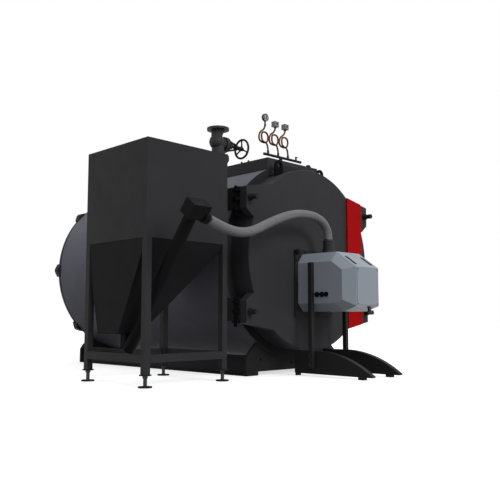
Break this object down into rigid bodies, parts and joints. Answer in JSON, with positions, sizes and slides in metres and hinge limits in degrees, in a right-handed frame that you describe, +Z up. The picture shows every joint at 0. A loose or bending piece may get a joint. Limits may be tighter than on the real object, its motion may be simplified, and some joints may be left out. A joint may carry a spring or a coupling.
{
  "type": "industrial pellet-fired fire-tube boiler",
  "caption": "Horizontal fire-tube boiler on a skid, with a hinged front door that carries a pellet burner, and a pellet hopper with an auger and a feed hose.",
  "frame": {"origin": "on the floor, under the middle of the plant's plan without the hose", "axes": "+Z up, +Y from the door to the rear along the drum, +X to the right for someone who faces the door"},
  "size_m": [3.736, 5.265, 3.368],
  "materials": {
    "cladding": "satin dark grey sheet cladding, a little lighter than the door",
    "door_paint": "satin charcoal paint",
    "dark_paint": "satin near-black paint",
    "base_paint": "satin black paint",
    "hopper_paint": "satin charcoal paint",
    "burner_paint": "satin blue-grey paint",
    "red_paint": "bright red paint",
    "valve_iron": "painted casting",
    "plate_steel": "dull boiler plate",
    "refractory": "cast refractory",
    "copper": "copper tube",
    "instrument": "black instrument housing",
    "hose_rubber": "grey flexible hose"
  },
  "bodies": {
    "plant": {"boiler_casing": "cladding", "front_smokebox": "door_paint", "front_tube_plate": "plate_steel", "rear_tube_plate": "plate_steel", "smoke_tubes": "plate_steel", "furnace_tube": "plate_steel", "rear_cover": "dark_paint", "rear_clamps": "dark_paint", "flue_outlet": "dark_paint", "front_saddle": "base_paint", "rear_saddle": "base_paint", "skid_beams": "base_paint", "roof_deck": "door_paint", "deck_bearers": "dark_paint", "lifting_lugs": "door_paint", "steam_nozzle": "dark_paint", "stop_valve_body": "valve_iron", "valve_bonnet": "valve_iron", "gauge_manifold": "dark_paint", "siphons": "copper", "pressure_gauge": "instrument", "pressure_switches": "instrument", "hinge_brackets": "door_paint", "feed_hose": "hose_rubber", "hopper_bin": "hopper_paint", "hopper_lid": "hopper_paint", "hopper_funnel": "hopper_paint", "hopper_legs": "hopper_paint", "hopper_beams": "hopper_paint", "hopper_feet": "base_paint", "auger_box": "hopper_paint", "auger_tube": "hopper_paint", "auger_head": "hopper_paint"},
    "door": {"front_door": "door_paint", "door_lining": "refractory", "door_clamps": "door_paint", "hinge_arms": "door_paint", "red_side_panel": "red_paint", "burner_mounting_plate": "dark_paint", "burner_cover": "burner_paint", "burner_tube": "plate_steel", "burner_legs": "dark_paint", "burner_skis": "base_paint", "hose_socket": "hose_rubber"},
    "wheel": {"valve_handwheel": "valve_iron"}
  },
  "joints": [
    {"name": "door_hinge", "type": "hinge", "parent": "plant", "child": "door", "pos_m": [-0.522, -1.4195, 1.38], "axis": [0, 0, -1], "range_deg": [0, 70], "deforming": ["feed_hose"]},
    {"name": "valve_spindle", "type": "hinge", "parent": "plant", "child": "wheel", "pos_m": [1.102, 0.1425, 3.148], "axis": [1, 0, 0], "continuous": true}
  ]
}
